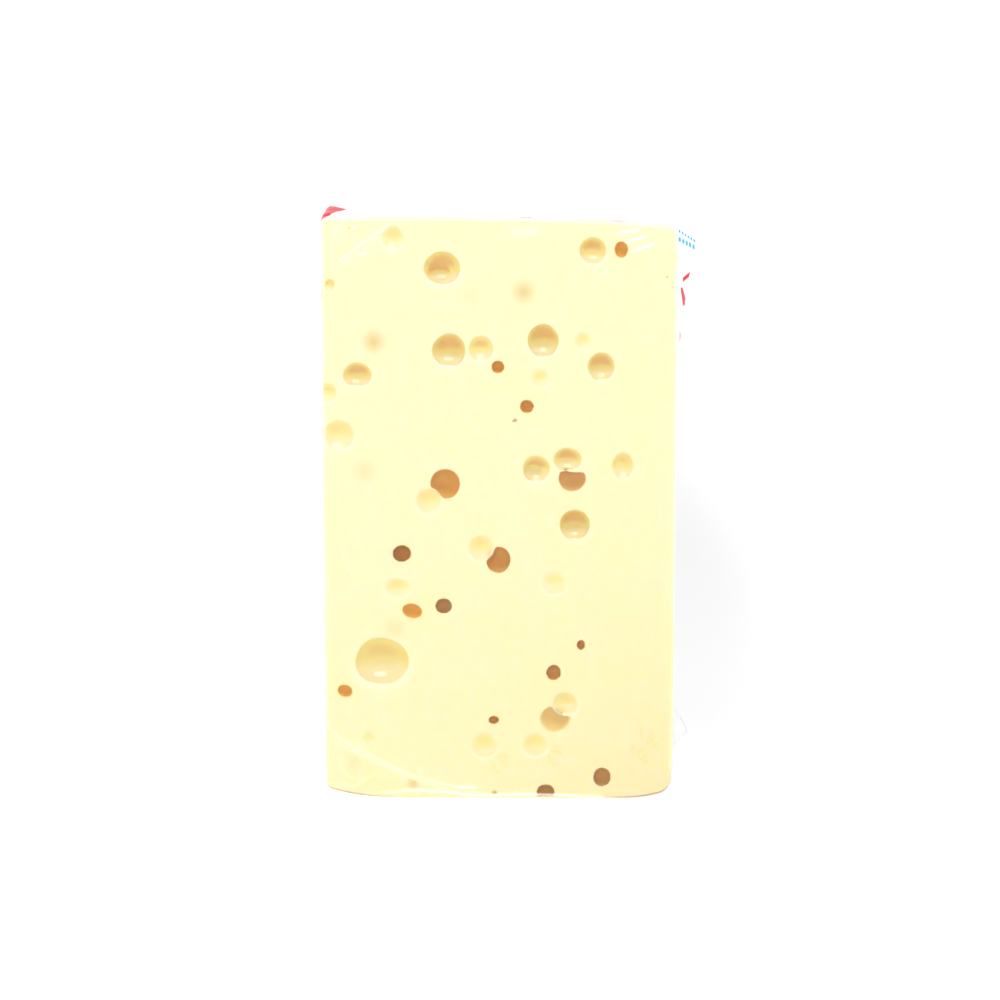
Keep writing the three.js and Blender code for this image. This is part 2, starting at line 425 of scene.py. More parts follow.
def thin_out(piece, most):
    """Merges the triangles of a mesh's flat parts until it has no more than that many."""
    count = sum(len(face.vertices) - 2 for face in piece.data.polygons)
    if count <= most:
        return
    modifier = piece.modifiers.new("thin", "DECIMATE")
    modifier.ratio = most / count
    graph = bpy.context.evaluated_depsgraph_get()
    thinned = bpy.data.meshes.new_from_object(piece.evaluated_get(graph))
    piece.modifiers.clear()
    piece.data = thinned
    thinned.shade_smooth()


def store(piece, name, values):
    attribute = piece.data.attributes.new(name, "FLOAT", "POINT")
    attribute.data.foreach_set("value", np.asarray(values, np.float32))


# ---------------------------------------------------------------- the films
def open_box(xs, zs, steps, start, end):
    """A box without one side, as points and four-sided faces. It is open at the depth `start`, and
    `end(x)` is the depth of the side opposite the opening."""
    numbers, points, faces = {}, [], []
    nx, nz = len(xs) - 1, len(zs) - 1

    def corner(i, j, k):
        if (i, j, k) not in numbers:
            numbers[i, j, k] = len(points)
            points.append((xs[i], start + (end(xs[i]) - start) * j / steps, zs[k]))
        return numbers[i, j, k]

    for i in range(nx):
        for k in range(nz):
            faces.append([(i, steps, k), (i, steps, k + 1), (i + 1, steps, k + 1), (i + 1, steps, k)])
    for j in range(steps):
        for k in range(nz):
            faces.append([(0, j, k), (0, j, k + 1), (0, j + 1, k + 1), (0, j + 1, k)])
            faces.append([(nx, j, k), (nx, j + 1, k), (nx, j + 1, k + 1), (nx, j, k + 1)])
        for i in range(nx):
            faces.append([(i, j, 0), (i, j + 1, 0), (i + 1, j + 1, 0), (i + 1, j, 0)])
            faces.append([(i, j, nz), (i + 1, j, nz), (i + 1, j + 1, nz), (i, j + 1, nz)])
    faces = np.array([[corner(*c) for c in face] for face in faces])
    return np.array(points), faces


def thicken(points, faces, normals, thickness):
    """A closed sheet: the surface, a second one `thickness` under it, and the rim between."""
    count = len(points)
    rim = [(b, a, a + count, b + count) for a, b in border(faces)]
    under = points - normals * thickness
    both = np.concatenate([points, under])
    return both, np.concatenate([faces, faces[:, ::-1] + count, np.array(sorted(rim))])


def steps_between(marks):
    """Grid lines from the first mark to the last: each stretch is (from, to, spacing)."""
    lines = [np.linspace(a, b, max(2, round((b - a) / s) + 1))[:-1] for a, b, s in marks]
    return np.concatenate([*lines, [marks[-1][1]]])


FILM_OFF = 0.2  # how far the clear film's outside lies off the cheese
FILM_SHEET = 0.1  # its thickness
FILM_LAP = 2.4  # how far back it reaches over the wedge's sides
FILM_STEPS = 6
WRAP_SHEET = 0.14
WRAP_START = 2.45
WRAP_DEPTH_SPACED = 34  # about how deep the printed film is, to space its mesh lines
FIN_SHEET = 0.09

# A crease stands up from the clear film along a path: its half width and height, and how white the
# folded film is there, partly from its own haze and partly as a painted highlight.
Crease = namedtuple("Crease", "path width height haze", defaults=(0.5, 0.3, 0.25))

CREASES = [
    # the long fold across the lower left corner: two slim ridges on a faint band
    Crease([(-49, 21.5), (-44.5, 17), (-35, 11.8), (-26, 7.4), (-14.5, 4), (-6, 2.8)], 0.3, 0.3, 0.11),
    Crease([(-50, 18), (-37, 11.7), (-23, 5.3), (-12.5, 2.1), (-7, 0.6)], 0.3, 0.3, 0.09),
    Crease([(-49, 19.5), (-36, 11.8), (-24.5, 6), (-13, 3)], 1.2, 0.05, 0.03),
    Crease([(-45.4, 13), (-45.6, 11), (-44.6, 8), (-42.2, 6.3)], 0.5, 0.12, 0.03),
    Crease([(-49, 5), (-45.5, 3.8), (-41.4, 3.8), (-38.5, 6), (-34.3, 7.8)], 0.6, 0.12, 0.03),
    # a dent by the middle of the top edge
    Crease([(1.5, 165.2), (5, 163.7), (9.5, 163.8), (11.3, 165.4)], 1.0, 0.1, 0.06),
    # along the foot of the face
    Crease([(-35, 1.6), (-25, 2.5), (-15.4, 1.9), (-6, 1), (11, 1.3), (26, 0.6), (31, 0.1)], 0.28, 0.3, 0.3),
    Crease([(-13.5, 3.4), (-6.5, 3.3)], 0.26, 0.2, 0.32),
    Crease([(-9, 1.4), (6, 1.1)], 0.26, 0.2, 0.22),
    # the double fold across the upper left corner
    Crease([(-48, 152.3), (-43.7, 156.5), (-38, 160.8), (-32, 165), (-30, 166.7)], 0.32, 0.28, 0.11),
    Crease([(-45.7, 151.5), (-41, 156), (-35.2, 159.9), (-31.5, 162)], 0.3, 0.28, 0.06),
    Crease([(-47, 152), (-41.8, 156.7), (-36, 161), (-31, 165)], 0.9, 0.0, 0.03),
    Crease([(-39.2, 157.1), (-37.2, 157.8)], 0.28, 0.2, 0.18),
    Crease([(-48.4, 156), (-46.7, 159.1), (-43.3, 164.1)], 0.4, 0.2, 0.04),
    Crease([(-49, 159.9), (-45, 165.2), (-43, 167.2)], 0.5, 0.2, 0.05),
    Crease([(-41.7, 164.4), (-40, 165.3)], 0.26, 0.2, 0.18),
    # short bright folds by the upper right corner
    Crease([(32.9, 163.2), (36, 163.7), (40.2, 164.3)], 0.3, 0.3, 0.32),
    Crease([(35.2, 160.4), (38, 161.5), (41.8, 162.5)], 0.28, 0.3, 0.32),
    Crease([(36.8, 158), (40.5, 159.2), (44.4, 160.7)], 0.3, 0.3, 0.32),
    Crease([(35.6, 165.7), (37.4, 165.6)], 0.28, 0.2, 0.14),
    Crease([(42.7, 153.4), (45.5, 156.8)], 0.3, 0.15, 0.05),
    # slack by the middle of the left edge
    Crease([(-45.4, 75.7), (-43.7, 69.4), (-41.5, 63.3)], 0.5, 0.15, 0.03),
    Crease([(29, 152.8), (30.8, 150.7)], 0.9, 0.15, 0.04),
]


def smooth_path(points, parts=8):
    """More points on a smooth curve through the given ones."""
    points = np.asarray(points, float)
    ends = np.concatenate([2 * points[:1] - points[1:2], points, 2 * points[-1:] - points[-2:-1]])
    curve = []
    for before, a, b, after in zip(ends, ends[1:], ends[2:], ends[3:]):
        for t in np.arange(parts) / parts:
            curve.append(
                (2 * a + (b - before) * t + (2 * before - 5 * a + 4 * b - after) * t**2
                 + (3 * a - before - 3 * b + after) * t**3) / 2
            )
    return np.array([*curve, points[-1]])


def path_distance(path, x, z):
    """Distance from each place to a path on the face, and how far along the path, from 0 to 1,
    it is nearest."""
    nearest, reached = np.full(len(x), np.inf), np.zeros(len(x))
    for i, (a, b) in enumerate(zip(path, path[1:])):
        step = b - a
        along = np.clip(((x - a[0]) * step[0] + (z - a[1]) * step[1]) / (step @ step), 0, 1)
        away = np.hypot(x - a[0] - along * step[0], z - a[1] - along * step[1])
        reached = np.where(away < nearest, (i + along) / (len(path) - 1), reached)
        nearest = np.minimum(nearest, away)
    return nearest, reached


def fine_wrinkles():
    """Short faint wrinkles that run out from the dents near the lower right corner."""
    random = np.random.default_rng(5)
    wrinkles = []
    for x, z, turn in ((10.4, 15.8, -50), (-4.2, 15.8, -65), (36, 9, 20), (40, 12, 35)):
        for step in range(4):
            angle = math.radians(turn + 14 * step + random.uniform(-5, 5))
            across, up = math.cos(angle), math.sin(angle)
            near, far = random.uniform(4, 5.5), random.uniform(7, 10.5)
            bend = random.uniform(-0.5, 0.5)
            middle = (near + far) / 2
            path = [
                (x + near * across, z + near * up),
                (x + middle * across - bend * up, z + middle * up + bend * across),
                (x + far * across, z + far * up),
            ]
            wrinkles.append(Crease(path, random.uniform(0.25, 0.4), 0.07, 0))
    return wrinkles


def film_dip(points):
    """How far the film is drawn into the wide eyes."""
    x, d, z = points.T
    dip = np.zeros(len(points))
    for eye in OPEN_EYES + SHALLOW_EYES:
        if eye.lid or abs(eye.x) > 46:
            continue
        rim = (eye.width + eye.height) / 4
        deep = min(0.6 * rim, 0.8 * eye.depth)
        ball = (rim**2 + deep**2) / (2 * deep)
        away = rim * np.hypot((x - eye.x) * 2 / eye.width, (z - eye.z) * 2 / eye.height)
        bowl = np.sqrt(np.maximum(ball**2 - away**2, 0)) - (ball - deep)
        soft = (bowl + np.hypot(bowl, 0.5)) / 2 - 0.03
        dip = np.maximum(dip, soft * (away < 1.6 * rim) * (d < 0.5))
    return dip


def film_creases(points):
    """How far each point of the film stands up in a crease, how white it is there, from the folded
    film's own haze and from painted highlight, and how much the fine wrinkles shade what is under them."""
    x, d, z = points.T
    lift, haze, shade = np.zeros((3, len(points)))
    wrinkles = fine_wrinkles()
    for crease in CREASES + wrinkles:
        away, along = path_distance(smooth_path(crease.path), x, z)
        taper = np.minimum(1, 4 * np.minimum(along, 1 - along) + 0.15)
        ridge = taper * np.exp(-((away / crease.width) ** 2))
        lift += crease.height * ridge
        haze = np.maximum(haze, crease.haze * ridge)
        if crease in wrinkles:
            shade = np.maximum(shade, ridge)
    # painted light: the film whitens within about a millimetre of the face's edges, where the rounded edges
    # catch the light, except along the foot
    rim = soft_step(1.2, 0.1, -face_outline(x, z)) * soft_step(4, 10, z)
    haze = np.maximum(haze, rim * (0.02 + 0.08 * noise(points, 6, 8)))
    lift *= np.clip(1 - d, 0, 1)
    slack = 0.12 * (noise(points, 9, 1) - 0.5) + 0.05 * (noise(points, 3.5, 2) - 0.5)
    return lift + slack, haze, shade


def make_clear_film():
    half = FACE_WIDTH / 2
    # the creases by the corners need a finer mesh than the middle
    coarse, fine = ((0.9, 0.32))
    xs = steps_between([(-half, -24, fine), (-24, 10, coarse), (10, half, 0.45)])
    zs = steps_between([(0, 26, fine), (26, 142, coarse), (142, FACE_HEIGHT, fine)])
    points, faces = open_box(xs, zs, FILM_STEPS, FILM_LAP, lambda x: 0.0)
    points = settle(body, points, FILM_OFF, rounds=6, most=3)
    normals = unit(gradient(body, points))
    lift, haze, shade = film_creases(points)
    points = points + normals * (lift - film_dip(points))[:, None]
    points, faces = thicken(points, faces[:, ::-1], normals, FILM_SHEET)
    film = mesh_object("clear_film", points, faces)
    store(film, "haze", np.concatenate([haze, haze]))
    store(film, "shade", np.concatenate([shade, shade]))
    thin_out(film, FILM_TRIANGLES)
    return film


def wrap_slack(points):
    """How far the printed film stands off the cheese behind its front edge: crinkles all over, a
    seam down the back, and folded corners on the top and the bottom."""
    x, d, z = points.T
    behind = soft_step(3, 9, d)
    ridged = 1 - 2 * np.abs(noise(points * (1, 1, 0.5), 9, 3) - 0.5)
    fine = 1 - 2 * np.abs(noise(points, 4, 4) - 0.5)
    slack = behind * (0.1 + 0.55 * ridged**3 + 0.25 * fine**3)
    slack += 0.25 * soft_step(8, 12, d)
    slack *= 1 - 0.8 * soft_step(FACE_WIDTH / 2 - 3, FACE_WIDTH / 2 - 0.5, x)
    slack *= 1 - 0.7 * soft_step(FACE_HEIGHT - 8, FACE_HEIGHT - 2, z)
    back = soft_step(-2, -0.5, d - back_depth(x))
    seam = back * (soft_step(-11, -10.2, x) - soft_step(-0.8, 0, x))
    ends = soft_step(1.5, 0.5, np.minimum(z, FACE_HEIGHT - z))
    across = np.minimum(FACE_WIDTH / 2 - x, FACE_WIDTH / 2 + x)
    fold = ends * soft_step(0, 0.8, d - 6 - 0.5 * across)
    return slack + 0.4 * seam + 0.35 * fold * behind


def make_printed_wrap():
    half = FACE_WIDTH / 2
    spacing = 1.1
    xs = steps_between([(-half, half, spacing)])
    zs = steps_between([(0, FACE_HEIGHT, spacing)])
    points, faces = open_box(xs, zs, round(WRAP_DEPTH_SPACED / spacing), WRAP_START, back_depth)
    points = settle(body, points, WRAP_SHEET - 0.02, rounds=6, most=3)
    normals = unit(gradient(body, points))
    points = points + normals * wrap_slack(points)[:, None]
    points, faces = thicken(points, faces, normals, WRAP_SHEET)
    return mesh_object("printed_wrap", points, faces)


# The sealed seam of the printed film, down the wedge's thin side. Its flat fin is folded back
# against the side, and stands out as an ear where it has sprung open.
FIN_WIDTH = 6.0
FIN_DEPTH = 5.5  # where its root is, behind the cut face
EAR_HEIGHTS = [8, 14, 15.5, 18, 21.5, 24, 26, 118, 125, 131.5, 149, 158, 163, 166.4]
EAR_REACHES = [0.4, 0.6, 3.4, 4.6, 2.6, 1.0, 0.4, 0.4, 0.6, 1.6, 3.6, 5.6, 5.9, 5.4]


def make_side_fin():
    rows = np.arange(EAR_HEIGHTS[0], EAR_HEIGHTS[-1], 0.8)
    reaches = np.interp(rows, EAR_HEIGHTS, EAR_REACHES)
    reaches = np.convolve(np.pad(reaches, 1, mode="edge"), (0.25, 0.5, 0.25), "valid")
    columns = np.linspace(0, 1, 10)
    root = FACE_WIDTH / 2 + WRAP_SHEET
    points, faces = [], []
    for z, out in zip(rows, reaches):
        lying = math.sqrt(max(FIN_WIDTH**2 - out**2, 0))
        for t in columns:
            # it leaves the side straight out, then turns back as far as it is folded
            points.append((root + out * t ** (0.5 + out / 12), FIN_DEPTH + lying * t**1.2, z))
    wide = len(columns)
    for i in range(len(rows) - 1):
        for j in range(wide - 1):
            a = i * wide + j
            faces.append((a, a + 1, a + wide + 1, a + wide))
    points, faces = np.array(points), np.array(faces)
    free = np.clip((points[:, 0] - root) / 3, 0, 1)
    points[:, 1] += free * 1.6 * (noise(points, 5, 7) - 0.5)
    normals = np.zeros_like(points)
    for corner in range(4):
        a, b, c = (points[faces[:, (corner + turn) % 4]] for turn in (3, 0, 1))
        np.add.at(normals, faces[:, corner], np.cross(c - b, a - b))
    points, faces = thicken(points, faces, unit(normals), FIN_SHEET)
    return mesh_object("side_fin", points, faces)


# ---------------------------------------------------------------- materials
class Graph:
    """A material, and its nodes as they are added: each call returns what the new node gives."""

    def __init__(self, name):
        self.material = bpy.data.materials.new(name)
        self.material.use_nodes = True
        self.nodes = self.material.node_tree.nodes
        self.links = self.material.node_tree.links
        self.shader = self.nodes["Principled BSDF"]
        self.surface = self.nodes["Material Output"].inputs["Surface"]
        coordinates = self.nodes.new("ShaderNodeTexCoord").outputs["Object"]
        # where a point is, in millimetres from the middle of the cut face's lower edge
        self.place = self.vector("MULTIPLY_ADD", coordinates, [1 / MM] * 3, list(-FACE_ORIGIN))

    def feed(self, socket, value):
        if isinstance(value, bpy.types.NodeSocket):
            self.links.new(value, socket)
        else:
            socket.default_value = value

    def math(self, operation, *values):
        node = self.nodes.new("ShaderNodeMath")
        node.operation = operation
        for socket, value in zip(node.inputs, values):
            self.feed(socket, value)
        return node.outputs[0]

    def vector(self, operation, *values):
        node = self.nodes.new("ShaderNodeVectorMath")
        node.operation = operation
        for socket, value in zip(node.inputs, values):
            self.feed(socket, value)
        return node.outputs["Value" if operation == "DISTANCE" else "Vector"]

    def axes(self):
        node = self.nodes.new("ShaderNodeSeparateXYZ")
        self.feed(node.inputs[0], self.place)
        return node.outputs

    def normal_up(self):
        """How far the surface faces up: 1 on a level top, -1 on an underside."""
        node = self.nodes.new("ShaderNodeSeparateXYZ")
        self.links.new(self.nodes.new("ShaderNodeNewGeometry").outputs["Normal"], node.inputs[0])
        return node.outputs["Z"]

    def attribute(self, name):
        node = self.nodes.new("ShaderNodeAttribute")
        node.attribute_name = name
        return node.outputs["Fac"]

    def noise(self, size, detail=2, roughness=0.5):
        """Noise with features of about that size in millimetres."""
        node = self.nodes.new("ShaderNodeTexNoise")
        self.feed(node.inputs["Vector"], self.place)
        node.inputs["Scale"].default_value = 1 / size
        node.inputs["Detail"].default_value = detail
        node.inputs["Roughness"].default_value = roughness
        return node.outputs["Fac"]

    def ramp(self, value, low, high, to_low=0.0, to_high=1.0):
        node = self.nodes.new("ShaderNodeMapRange")
        node.interpolation_type = "SMOOTHSTEP"
        for socket, number in zip(node.inputs, (value, low, high, to_low, to_high)):
            self.feed(socket, number)
        return node.outputs[0]

    def mix(self, amount, one, other):
        node = self.nodes.new("ShaderNodeMix")
        node.data_type = "RGBA"
        self.feed(node.inputs["Factor"], amount)
        self.feed(node.inputs["A"], one)
        self.feed(node.inputs["B"], other)
        return node.outputs["Result"]

    def bump(self, height, strength, distance):
        """Small relief: the height goes from 0 to 1, over `distance` millimetres."""
        node = self.nodes.new("ShaderNodeBump")
        self.feed(node.inputs["Height"], height)
        node.inputs["Strength"].default_value = strength
        node.inputs["Distance"].default_value = distance * MM
        self.links.new(node.outputs[0], self.shader.inputs["Normal"])

    def spots(self, spots):
        """Soft round spots on the cut face, each (x, z, radius, strength)."""
        total = 0.0
        for x, z, radius, strength in spots:
            away = self.vector("DISTANCE", self.place, (x, 0, z))
            total = self.math("MAXIMUM", total, self.ramp(away, 0, radius, strength, 0))
        return total

    def between(self, value, low, high, soft=0.15):
        rise = self.ramp(value, low - soft, low + soft)
        return self.math("MULTIPLY", rise, self.ramp(value, high - soft, high + soft, 1, 0))


PASTE = (0.82, 0.71, 0.43, 1)
PASTE_PALE = (0.83, 0.735, 0.50, 1)
PASTE_YELLOW = (0.83, 0.715, 0.38, 1)
PASTE_LIT_RIM = (0.84, 0.77, 0.60, 1)
PASTE_SHADE_OCHRE = (0.82, 0.68, 0.26, 1)
PASTE_SHADE_BROWN = (0.75, 0.47, 0.17, 1)
PASTE_SHADE_DEEP = (0.80, 0.43, 0.06, 1)
SHADOW_BROWN = (0.60, 0.46, 0.16, 1)
UNDERSIDE_SHADE = (0.42, 0.27, 0.08, 1)
SPECK = (0.42, 0.22, 0.06, 1)

# Eyes that lie just under the cut face show through it as soft shadows.
SHADOWS = [
    (-35.4, 132.6, 4.6, 0.8),
    (-35.2, 131.8, 0.9, 1.0),
    (6.8, 146.7, 4.6, 0.75),
    (7.2, 146.2, 0.8, 1.0),
    (-38.1, 95.9, 5, 0.3),
    (-29.8, 50.2, 4.5, 0.3),
    (-8.2, 145.5, 5, 0.12),
    (-24.8, 4.4, 2.6, 0.8),
    (-41.5, 10.5, 3.5, 0.2),
]
SPECKS = [(4.5, 110.2, 0.9, 1), (4.0, 110.0, 0.6, 1), (47.3, 150.9, 0.5, 0.8), (-42.2, 164.6, 0.4, 0.9)]


def cheese_material():
    graph = Graph("cheese_paste")
    across, behind, up = graph.axes()
    # painted shade: yellower towards the foot and the thin side, where less light falls, broken by soft
    # clouds of the paste's own tone
    light_falloff = graph.math("MULTIPLY_ADD", up, -0.0055, 0.75)
    light_falloff = graph.math("ADD", light_falloff, graph.math("MULTIPLY", across, 0.003))
    clouds = graph.math("MULTIPLY_ADD", graph.noise(14, 3), 1.6, -0.8)
    colour = graph.mix(graph.ramp(graph.math("ADD", light_falloff, clouds), 0, 1), PASTE, PASTE_YELLOW)
    curd = graph.ramp(graph.noise(3.2, 3, 0.6), 0.4, 0.75, 0, 0.6)
    colour = graph.mix(curd, colour, PASTE_PALE)
    # painted shadow: a soft ochre shade round each deep eye, as if seen through the paste
    hole_shadows = [(eye.x, eye.z, eye.width / 2 + 2.2, 0.5) for eye in DEEP_EYES if eye.brown > 0.9]
    colour = graph.mix(graph.spots(hole_shadows), colour, PASTE_SHADE_OCHRE)
    # painted shadows of the eyes that lie just under the cut face
    colour = graph.mix(graph.spots(SHADOWS), colour, SHADOW_BROWN)
    # painted light on the lips below the eyes
    colour = graph.mix(graph.attribute("eye_lit_rim"), colour, PASTE_LIT_RIM)
    # painted shade in the eyes: ochre, then brown, then deep orange-brown as it grows
    brown = graph.attribute("eye_painted_shade")
    colour = graph.mix(graph.ramp(brown, 0, 0.35), colour, PASTE_SHADE_OCHRE)
    colour = graph.mix(graph.ramp(brown, 0.35, 0.7), colour, PASTE_SHADE_BROWN)
    colour = graph.mix(graph.ramp(brown, 0.75, 1), colour, PASTE_SHADE_DEEP)
    # painted shade: the underside's lifted corners, which face down, are darker
    facing_down = graph.ramp(graph.normal_up(), -0.75, -0.15, 1, 0)
    corners = graph.math("MULTIPLY", facing_down, graph.ramp(graph.math("ABSOLUTE", across), 26, 44))
    colour = graph.mix(graph.math("MULTIPLY", corners, graph.ramp(up, 8, 4, 0, 1)), colour, UNDERSIDE_SHADE)
    colour = graph.mix(graph.spots(SPECKS), colour, SPECK)
    graph.feed(graph.shader.inputs["Base Color"], colour)
    graph.feed(graph.shader.inputs["Roughness"], graph.ramp(curd, 0, 0.6, 0.32, 0.45))
    graph.shader.inputs["Specular IOR Level"].default_value = 0.15
    graph.shader.inputs["Subsurface Weight"].default_value = 0.3
    graph.shader.inputs["Subsurface Radius"].default_value = (1.0, 0.6, 0.25)
    graph.shader.inputs["Subsurface Scale"].default_value = 0.004
    graph.bump(graph.math("ADD", graph.noise(1.1, 3), graph.noise(5, 2)), 0.25, 0.12)
    return graph.material


def film_material():
    """Clear film: it reflects little where it faces the eye and more where it turns away."""
    graph = Graph("clear_film")
    shader = graph.shader
    shader.inputs["Base Color"].default_value = (1, 1, 1, 1)
    shader.inputs["Metallic"].default_value = 1
    graph.feed(shader.inputs["Roughness"], graph.ramp(graph.noise(6), 0.3, 0.7, 0.08, 0.15))
    graph.bump(graph.math("ADD", graph.noise(2.5, 2), graph.noise(8, 2)), 0.3, 0.12)
    facing = graph.nodes.new("ShaderNodeLayerWeight")
    facing.inputs["Blend"].default_value = 0.5
    gloss = graph.math("POWER", facing.outputs["Facing"], 5)
    gloss = graph.math("MULTIPLY_ADD", gloss, 0.4, 0.018)
    clear = graph.nodes.new("ShaderNodeBsdfTransparent")
    tone = graph.mix(graph.attribute("shade"), (1, 1, 1, 1), (1, 0.97, 0.89, 1))
    graph.feed(clear.inputs["Color"], tone)
    # folds scatter light both ways, so the cheese under them stays lit; the same white also stands in for
    # part of the creases' highlights and for the light on the face's edges
    white = graph.nodes.new("ShaderNodeAddShader")
    for socket, kind in zip(white.inputs, ("ShaderNodeBsdfDiffuse", "ShaderNodeBsdfTranslucent")):
        scatter = graph.nodes.new(kind)
        scatter.inputs["Color"].default_value = (0.9, 0.9, 0.86, 1)
        graph.feed(socket, scatter.outputs[0])
    hazed = graph.nodes.new("ShaderNodeMixShader")
    graph.feed(hazed.inputs[0], graph.attribute("haze"))
    graph.feed(hazed.inputs[1], clear.outputs[0])
    graph.feed(hazed.inputs[2], white.outputs[0])
    glossed = graph.nodes.new("ShaderNodeMixShader")
    graph.feed(glossed.inputs[0], gloss)
    graph.feed(glossed.inputs[1], hazed.outputs[0])
    graph.feed(glossed.inputs[2], shader.outputs[0])
    graph.feed(graph.surface, glossed.outputs[0])
    return graph.material


FILM_WHITE = (0.86, 0.87, 0.88, 1)
RED = (0.72, 0.025, 0.05, 1)
PINK = (0.80, 0.30, 0.38, 1)
BLUE = (0.06, 0.42, 0.80, 1)
# the plain bands round the back and the sides, each from one height to another
RED_BAND = 96, 128
BLUE_BANDS = (88, 91), (133, 136)
DASH_ROWS = 5


def dashes(graph, across, up, start, step, count, slope, length, height):
    """A sloping row of short printed dashes that stands for a line of small print."""
    x = graph.math("SUBTRACT", across, start[0])
    z = graph.math("ADD", graph.math("SUBTRACT", up, start[1]), graph.math("MULTIPLY", x, slope))
    row = graph.between(z, -height / 2, height / 2, 0.08)
    part = graph.math("MODULO", x, step)
    dash = graph.between(part, 0.08, length, 0.06)
    whole = graph.between(x, 0, count * step, 0.02)
    return graph.math("MULTIPLY", row, graph.math("MULTIPLY", dash, whole))


def satin(graph, colour, specular=0.2):
    graph.feed(graph.shader.inputs["Base Color"], colour)
    graph.feed(graph.shader.inputs["Roughness"], graph.ramp(graph.noise(7), 0.3, 0.7, 0.22, 0.36))
    graph.shader.inputs["Specular IOR Level"].default_value = specular
    graph.bump(graph.math("ADD", graph.noise(2.2, 3, 0.6), graph.noise(7, 3)), 0.4, 0.3)


def wrap_material():
    graph = Graph("printed_film")
    across, behind, up = graph.axes()
    # a red point that runs along the thick end of the top and down the side below it
    back_of_point = graph.math("MULTIPLY", graph.math("SUBTRACT", behind, 23.5), 0.4)
    front_of_point = graph.math("MULTIPLY", graph.math("SUBTRACT", 23.5, behind), 0.235)
    edge = graph.math("MAXIMUM", back_of_point, front_of_point)
    point = graph.ramp(graph.math("ADD", across, edge), -44.1, -43.7, 1, 0)
    top = graph.ramp(up, 163.2, 163.6)
    colour = graph.mix(graph.math("MULTIPLY", point, top), FILM_WHITE, RED)
    # worn pink ends of print along the front of the top and of the thick side
    top_front = graph.math("MULTIPLY", top, graph.between(behind, 2.4, 5.2))
    end_marks = graph.math("MAXIMUM", graph.between(across, 5.6, 9.6), graph.between(across, 31.5, 36))
    side_mark = graph.math("MULTIPLY", graph.between(up, 142, 151), graph.ramp(across, -49.4, -49.2, 1, 0))
    side_mark = graph.math("MULTIPLY", side_mark, graph.ramp(behind, 5.6, 5.8, 1, 0))
    marks = graph.math("MAXIMUM", graph.math("MULTIPLY", top_front, end_marks), side_mark)
    colour = graph.mix(graph.math("MULTIPLY", marks, graph.ramp(graph.noise(1.2), 0.3, 0.6)), colour, PINK)
    # plain bands across the back and the sides, where a label would be
    rear = graph.ramp(behind, 8, 9)
    wide_band = graph.between(up, *RED_BAND, 0.3)
    thin_band = graph.math("MAXIMUM", *(graph.between(up, *band, 0.2) for band in BLUE_BANDS))
    colour = graph.mix(graph.math("MULTIPLY", rear, wide_band), colour, RED)
    colour = graph.mix(graph.math("MULTIPLY", rear, thin_band), colour, BLUE)
    for row in range(DASH_ROWS):
        line = dashes(graph, across, up, (-38, 70 - 6 * row), 3.1, 24 - 3 * (row % 3), 0, 2.5, 1.6)
        colour = graph.mix(graph.math("MULTIPLY", rear, line), colour, BLUE)
    satin(graph, colour, 0.06)
    return graph.material


def fin_material():
    graph = Graph("printed_film_fin")
    across, behind, up = graph.axes()
    upper_row = dashes(graph, across, up, (50.6, 163.5), 0.85, 6, 0.65, 0.62, 0.8)
    lower_row = dashes(graph, across, up, (50.6, 161.2), 1.0, 5, 0.55, 0.74, 1.3)
    colour = graph.mix(graph.math("MAXIMUM", upper_row, lower_row), FILM_WHITE, BLUE)
    short_bar = dashes(graph, across, up, (52.0, 149.3), 2.8, 1, -0.7, 2.6, 1.3)
    lean = graph.math("SUBTRACT", across, graph.math("MULTIPLY", graph.math("SUBTRACT", 149, up), 0.15))
    end = graph.ramp(up, 142, 149, 52.4, 51.6)
    long_bar = graph.math("MULTIPLY", graph.ramp(lean, 51.1, 51.2), graph.math("LESS_THAN", lean, end))
    long_bar = graph.math("MULTIPLY", long_bar, graph.between(up, 141.8, 147.2))
    colour = graph.mix(graph.math("MAXIMUM", short_bar, long_bar), colour, RED)
    ticks = dashes(graph, across, up, (51.2, 133.5), 1.2, 1, 2.0, 0.7, 2.6)
    low_tick = graph.spots([(51.3, 21.8, 1.0, 0.8)])
    colour = graph.mix(graph.math("MAXIMUM", ticks, low_tick), colour, PINK)
    satin(graph, colour)
    return graph.material


GLOW_DISTANCES = 30, 300  # from the dimmest place, in millimetres of the squeezed floor
GLOW = 0.635, 1.02
SHADOW_SQUEEZE = 3, 0.35, 0  # makes the dim patch narrow across and long from front to back
SHADOW_PLACE = 200, 122, 0


def stage_material():
    """A pale floor, lit from within like a light table, with a painted shadow where it glows less, by the
    pack's thin side.
    """
    graph = Graph("stage")
    tone = graph.mix(graph.noise(400, 2), (0.28, 0.28, 0.29, 1), (0.30, 0.30, 0.30, 1))
    graph.feed(graph.shader.inputs["Base Color"], tone)
    # painted shadow: the glow dims in a long patch by the pack's thin side
    away = graph.vector("DISTANCE", graph.vector("MULTIPLY", graph.place, SHADOW_SQUEEZE), SHADOW_PLACE)
    graph.shader.inputs["Emission Color"].default_value = (1, 1, 1, 1)
    graph.feed(graph.shader.inputs["Emission Strength"], graph.ramp(away, *GLOW_DISTANCES, *GLOW))
    graph.shader.inputs["Roughness"].default_value = 0.9
    graph.shader.inputs["Specular IOR Level"].default_value = 0.1
    return graph.material


# ---------------------------------------------------------------- stage, light and camera
FLOOR_HALF = 20_000.0
CAMERA_AWAY = 950.0
CAMERA_ABOVE = 9.3  # degrees above the horizon
AIM_HEIGHT = 87.3
SEEN_WIDTH = 284.5  # millimetres across the picture, where the camera aims


